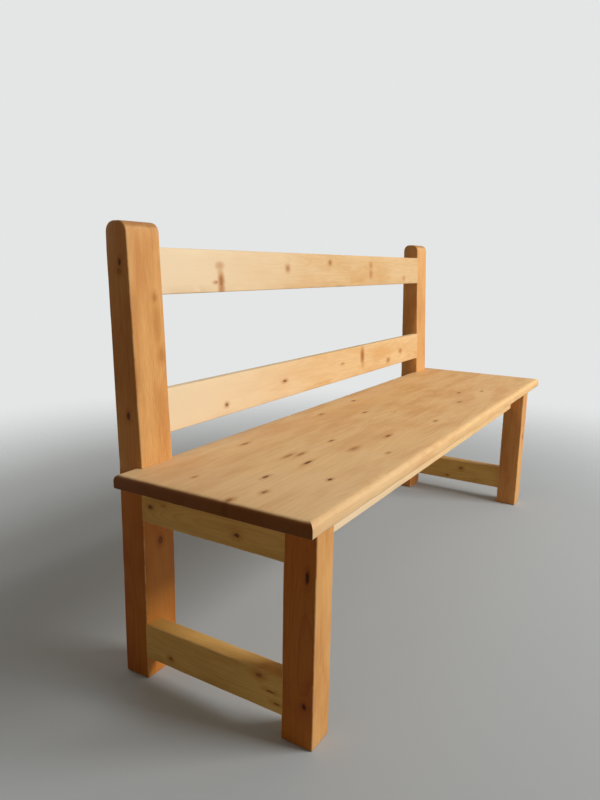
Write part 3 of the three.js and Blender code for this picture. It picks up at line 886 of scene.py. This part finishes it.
class BENCH_OT_seat(Operator):
    """Make the three boards of the seat, with a round nose outside and notches for the posts"""

    bl_idname = "bench.seat"
    bl_label = "Seat boards"

    def execute(self, context):
        settings = context.scene.bench_timber
        plan = rectangle((low("seat_board_front").x, SEAT_FRONT),
                         (high("seat_board_front").x, SEAT_BACK), settings.seat_corner)
        whole = SEAT_BACK - SEAT_FRONT
        for seed, (board, joints) in enumerate(SEAT_BOARDS.items()):
            ends = [(SEAT_FRONT + whole * thirds / 3, side) for thirds, side in joints]
            saw = Saw("x", (18 - 30 * seed, 64 + 8 * seed), 4 * seed, 14 + seed)
            piece = timber(f"seat_board_{board}", plan, "z", (SEAT_UNDER, SEAT_TOP),
                           (settings.under_nose, settings.nose), saw, "seat_wood",
                           slices=SEAT_SLICES, ends=ends)
            if board == "back":
                notch_for_posts(piece)
        return {"FINISHED"}


def notch_for_posts(board):
    """Cuts the notches in the seat's back edge, where the posts pass it."""
    for end in ENDS:
        a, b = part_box(f"back_post_{end}")
        a = Vector((a.x - NOTCH_PLAY, a.y - NOTCH_PLAY, SEAT_UNDER - NOTCH_OVERRUN))
        b = Vector((b.x + NOTCH_PLAY, SEAT_BACK + NOTCH_OVERRUN, SEAT_TOP + NOTCH_OVERRUN))
        placed = Matrix.Translation((a + b) / 2) @ Matrix.Diagonal((*(b - a), 1))
        bm = bmesh.new()
        bmesh.ops.create_cube(bm, size=1, matrix=placed)
        cutter = in_scene("notch", plain_mesh("notch", bm))
        boolean = board.modifiers.new("Notch", "BOOLEAN")
        boolean.object = cutter
        boolean.operation = "DIFFERENCE"
        boolean.solver = "EXACT"
        notched = evaluated(board)
        board.modifiers.clear()
        board.data = notched
        bpy.data.objects.remove(cutter)


# Buttons and screws, repeated by geometry nodes

SCREW_SIDES = 24
SHANK_SIDES = 12
SCREW_CROWN = 0.72  # the width of a head at its slotted end, as a share of its full width
SLOT_LENGTH = 3  # in head radii, so that the slot runs out past both sides
BUTTONS = sorted(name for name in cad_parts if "button" in name and "screw" not in name)
# Which way a button's lip points, as a turn about the vertical, by a word in its node's name
LIP_TURNS = {"front": 0, "back": math.pi, "left": -math.pi / 2, "right": math.pi / 2}


def geometry_tree(name, sizes):
    """A geometry node tree with one named length for each size."""
    tree = bpy.data.node_groups.new(name, "GeometryNodeTree")
    for in_out in ("INPUT", "OUTPUT"):
        tree.interface.new_socket("Geometry", in_out=in_out, socket_type="NodeSocketGeometry")
    for size in sizes:
        socket = tree.interface.new_socket(size, in_out="INPUT", socket_type="NodeSocketFloat")
        socket.subtype = "DISTANCE"
    add = partial(add_node, tree)
    return tree, add, add("NodeGroupInput").node.outputs


def boxed(add, size, offset, points=3):
    """A box of the given size, moved by the given offset, with a few points along each edge."""
    size, offset = [add("ShaderNodeCombineXYZ", *parts) for parts in (size, offset)]
    return add("GeometryNodeTransform", add("GeometryNodeMeshCube", size, *[points] * 3), offset)


def repeat(name, tree, given, shapes, places, sizes, material):
    """Sets the joined shapes on every place, turned, and returns them as one plain mesh."""
    add = partial(add_node, tree)
    joined = add("GeometryNodeJoinGeometry", shapes[0])
    tree.links.new(shapes[1], joined.node.inputs[0])
    turn = add("GeometryNodeInputNamedAttribute", "turn", data_type="FLOAT_VECTOR")
    turn = add("FunctionNodeEulerToRotation", turn)
    copies = add("GeometryNodeInstanceOnPoints", named={
        "Points": given["Geometry"], "Instance": joined, "Rotation": turn})
    real = add("GeometryNodeRealizeInstances", copies)
    add("NodeGroupOutput", add("GeometryNodeSetMaterial", real, None, material))

    points = bpy.data.meshes.new(name)
    points.from_pydata([place for place, _ in places], [], [])
    turns = points.attributes.new("turn", "FLOAT_VECTOR", "POINT")
    turns.data.foreach_set("vector", [value for _, angle in places for value in (0, 0, angle)])
    holder = in_scene(name, points)
    modifier = holder.modifiers.new(name, "NODES")
    modifier.node_group = tree
    for item in tree.interface.items_tree:
        if item.in_out == "INPUT" and item.name in sizes:
            modifier[item.identifier] = sizes[item.name]
    mesh = evaluated(holder)
    bpy.data.objects.remove(holder)
    return mesh


class BENCH_OT_seat_buttons(Operator):
    """Make the wooden buttons that hold the seat down"""

    bl_idname = "bench.seat_buttons"
    bl_label = "Seat buttons"

    def execute(self, context):
        size = high(BUTTONS[0]) - low(BUTTONS[0])
        lip = context.scene.bench_fixings.lip
        sizes = {"Width": size.x, "Depth": size.y - lip, "Height": size.z, "Lip": lip}
        tree, add, given = geometry_tree("Seat buttons", sizes)
        shifts = (("Depth", 0.5), ("Height", -0.5), ("Lip", -0.5), ("Lip", -1.5))
        moves = [add(TIMES, given[size], share) for size, share in shifts]
        tongue_size = (given["Width"], given["Lip"], given["Lip"])
        block_size = (given["Width"], given["Depth"], given["Height"])
        block = boxed(add, block_size, (None, *moves[:2]))
        tongue = boxed(add, tongue_size, (None, *moves[2:]))
        places = []
        for node in BUTTONS:
            turn = next(turn for word, turn in LIP_TURNS.items() if word in node)
            a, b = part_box(node)
            centre = (a + b) / 2
            back = Matrix.Rotation(turn, 3, "Z") @ Vector((0, (lip - sizes["Depth"]) / 2, 0))
            places.append(((centre.x + back.x, centre.y + back.y, b.z), turn))
        mesh = repeat("seat_buttons", tree, given, (tongue, block), places, sizes, wood("raw_wood"))
        log_places(mesh, Saw("x", (30, 40), 0, 0))
        finish_piece("finished_seat_buttons", mesh, wood("raw_wood"), BUTTONS)
        return {"FINISHED"}


class BENCH_OT_button_screws(Operator):
    """Make the slotted screws in the seat buttons"""

    bl_idname = "bench.button_screws"
    bl_label = "Button screws"

    def execute(self, context):
        settings = context.scene.bench_fixings
        nodes = [node.replace("seat_button_", "seat_button_screw_") for node in BUTTONS]
        size = high(nodes[0]) - low(nodes[0])
        sizes = {"Head radius": size.x / 2, "Head height": settings.screw_head,
                 "Shank radius": settings.screw_shank, "Length": size.z - settings.screw_head,
                 "Slot": settings.screw_slot}
        tree, add, given = geometry_tree("Button screws", sizes)
        crown = add(TIMES, given["Head radius"], SCREW_CROWN)
        head = add("GeometryNodeMeshCone", SCREW_SIDES, named={
            "Radius Top": given["Head radius"], "Radius Bottom": crown,
            "Depth": given["Head height"]})
        across = add(TIMES, given["Head radius"], SLOT_LENGTH)
        slot = boxed(add, (across, given["Slot"], given["Slot"]), (), points=2)
        slotted = add("GeometryNodeMeshBoolean", head, slot, operation="DIFFERENCE")
        shank = add("GeometryNodeMeshCylinder", SHANK_SIDES, named={
            "Radius": given["Shank radius"], "Depth": given["Length"]})
        rise = add(TIMES_PLUS, given["Length"], 0.5, given["Head height"])
        raised = add("GeometryNodeTransform", shank, add("ShaderNodeCombineXYZ", None, None, rise))
        places = []
        for i, node in enumerate(nodes):
            a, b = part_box(node)
            centre = (a + b) / 2
            places.append(((centre.x, centre.y, a.z), settings.screw_turn * i))
        steel = zinc_plated_steel()
        mesh = repeat("button_screws", tree, given, (raised, slotted), places, sizes, steel)
        finish_piece("finished_button_screws", mesh, steel, nodes)
        return {"FINISHED"}


# Studio

CAMERA_PLACE = Vector((-1.6345, -0.7111, 0.8422))
CAMERA_AZIMUTH = math.radians(-59.0)
CAMERA_ELEVATION = math.radians(11.77)
CAMERA_ROLL = math.radians(1.07)
FOCAL_PIXELS = 658.6
PICTURE_HEIGHT_PIXELS = 800
SENSOR_MM = 36


def photo_camera():
    """The camera that the photograph was taken with, as its vanishing points give it."""
    data = bpy.data.cameras.new("photo_camera")
    data.sensor_fit = "VERTICAL"
    data.sensor_height = SENSOR_MM
    data.lens = FOCAL_PIXELS / PICTURE_HEIGHT_PIXELS * SENSOR_MM
    camera = in_scene("photo_camera", data)
    a, e = CAMERA_AZIMUTH, CAMERA_ELEVATION
    back = Vector((math.sin(a) * math.cos(e), -math.cos(a) * math.cos(e), math.sin(e)))
    right = Vector((math.cos(a), math.sin(a), 0))
    up = back.cross(right)
    turned = Matrix((right, up, back)).transposed() @ Matrix.Rotation(CAMERA_ROLL, 3, "Z")
    camera.matrix_world = Matrix.Translation(CAMERA_PLACE) @ turned.to_4x4()
    bpy.context.scene.camera = camera


# Each lamp's place, what it is aimed at, its width and its height
LAMPS = {
    "key": ((1.0, -3.5, 2.6), (0, 0, 0.45), 2.2, 1.3),
    "side": ((3.2, -1.6, 1.5), (0, 0, 0.5), 1.8, 1.6),
    "top": ((0.4, -0.6, 3.4), (0, 0, 0.45), 3.0, 2.0),
    "back": ((0.1, 3.3, 2.5), (0, 0.4, 0), 2.6, 1.8),
}
FLOOR_RADIUS = 14
FLOOR_SEGMENTS = 96
CARD_ROUGHNESS = 0.9


def softbox(name, place, target, width, height, watts):
    """A large rectangular lamp aimed at a point."""
    data = bpy.data.lights.new(name, "AREA")
    data.shape = "RECTANGLE"
    data.size, data.size_y = width, height
    data.energy = watts
    lamp = in_scene(name, data)
    lamp.location = place
    lamp.rotation_euler = (Vector(target) - Vector(place)).to_track_quat("-Z", "Y").to_euler()


def studio_world(settings):
    """A pale background for the camera, metal and glass, and dim even light for all else."""
    world = bpy.data.worlds.new("studio_world")
    bpy.context.scene.world = world
    add = cleared(world)
    ray = add("ShaderNodeLightPath").node.outputs
    seen = ray["Is Camera Ray"]
    for mirrored in ("Is Glossy Ray", "Is Transmission Ray"):
        seen = add(LARGER, seen, ray[mirrored])
    dim = add("ShaderNodeBackground", settings.ambient_colour, settings.ambient)
    pale = add("ShaderNodeBackground", settings.background, 1)
    add("ShaderNodeOutputWorld", add("ShaderNodeMixShader", seen, dim, pale))


def studio_floor(settings):
    """A wide round floor that fades out into the background and is clear from below."""
    bm = bmesh.new()
    bmesh.ops.create_circle(bm, cap_ends=True, segments=FLOOR_SEGMENTS, radius=FLOOR_RADIUS)
    mesh = plain_mesh("studio_floor", bm)
    # Even and without a sheen, so that only the bench's shadow shows on it
    material = bpy.data.materials.new("Card, matt coated")
    add = cleared(material)
    card = add("ShaderNodeBsdfPrincipled", settings.floor, None, CARD_ROUGHNESS)
    clear = add("ShaderNodeBsdfTransparent")
    away = add(V_LENGTH, add("ShaderNodeTexCoord", out="Object"))
    faded = add(RANGE, away, settings.fade_start, settings.fade_end, 0, 1)
    below = add("ShaderNodeNewGeometry", out="Backfacing")
    surface = add("ShaderNodeMixShader", add(LARGER, faded, below), card, clear)
    add("ShaderNodeOutputMaterial", surface)
    mesh.materials.append(material)
    in_scene("studio_floor", mesh)


class BENCH_OT_studio(Operator):
    """Make the floor, the lamps, the background and the camera"""

    bl_idname = "bench.studio"
    bl_label = "Studio"

    def execute(self, context):
        settings = context.scene.bench_studio
        context.scene.view_settings.view_transform = "Standard"
        studio_floor(settings)
        studio_world(settings)
        for name, lamp in LAMPS.items():
            softbox(f"{name}_lamp", *lamp, getattr(settings, f"{name}_power"))
        photo_camera()
        return {"FINISHED"}


class BENCH_PT_panel(bpy.types.Panel):
    """The bench's pieces and settings"""

    bl_idname = "BENCH_PT_panel"
    bl_label = "Monks bench"
    bl_space_type = "VIEW_3D"
    bl_region_type = "UI"
    bl_category = "Bench"

    def draw(self, context):
        for operator in OPERATORS:
            self.layout.operator(operator.bl_idname)
        for name in SETTINGS:
            group = getattr(context.scene, name)
            box = self.layout.box()
            for setting in group.__annotations__:
                box.prop(group, setting)


OPERATORS = (
    BENCH_OT_front_legs,
    BENCH_OT_back_posts,
    BENCH_OT_back_rails,
    BENCH_OT_aprons,
    BENCH_OT_end_frames,
    BENCH_OT_bearer,
    BENCH_OT_seat,
    BENCH_OT_seat_buttons,
    BENCH_OT_button_screws,
    BENCH_OT_studio,
)
SETTINGS = {
    "bench_timber": TimberSettings,
    "bench_fixings": FixingSettings,
    "bench_wood": WoodSettings,
    "bench_studio": StudioSettings,
}
CLASSES = (*SETTINGS.values(), *OPERATORS, BENCH_PT_panel)


def register():
    for kind in CLASSES:
        bpy.utils.register_class(kind)
    for name, kind in SETTINGS.items():
        setattr(bpy.types.Scene, name, PointerProperty(type=kind))


def unregister():
    for name in SETTINGS:
        delattr(bpy.types.Scene, name)
    for kind in reversed(CLASSES):
        bpy.utils.unregister_class(kind)


def main():
    register()
    for operator in OPERATORS:
        getattr(bpy.ops.bench, operator.bl_idname.removeprefix("bench."))()


if __name__ == "__main__":
    main()
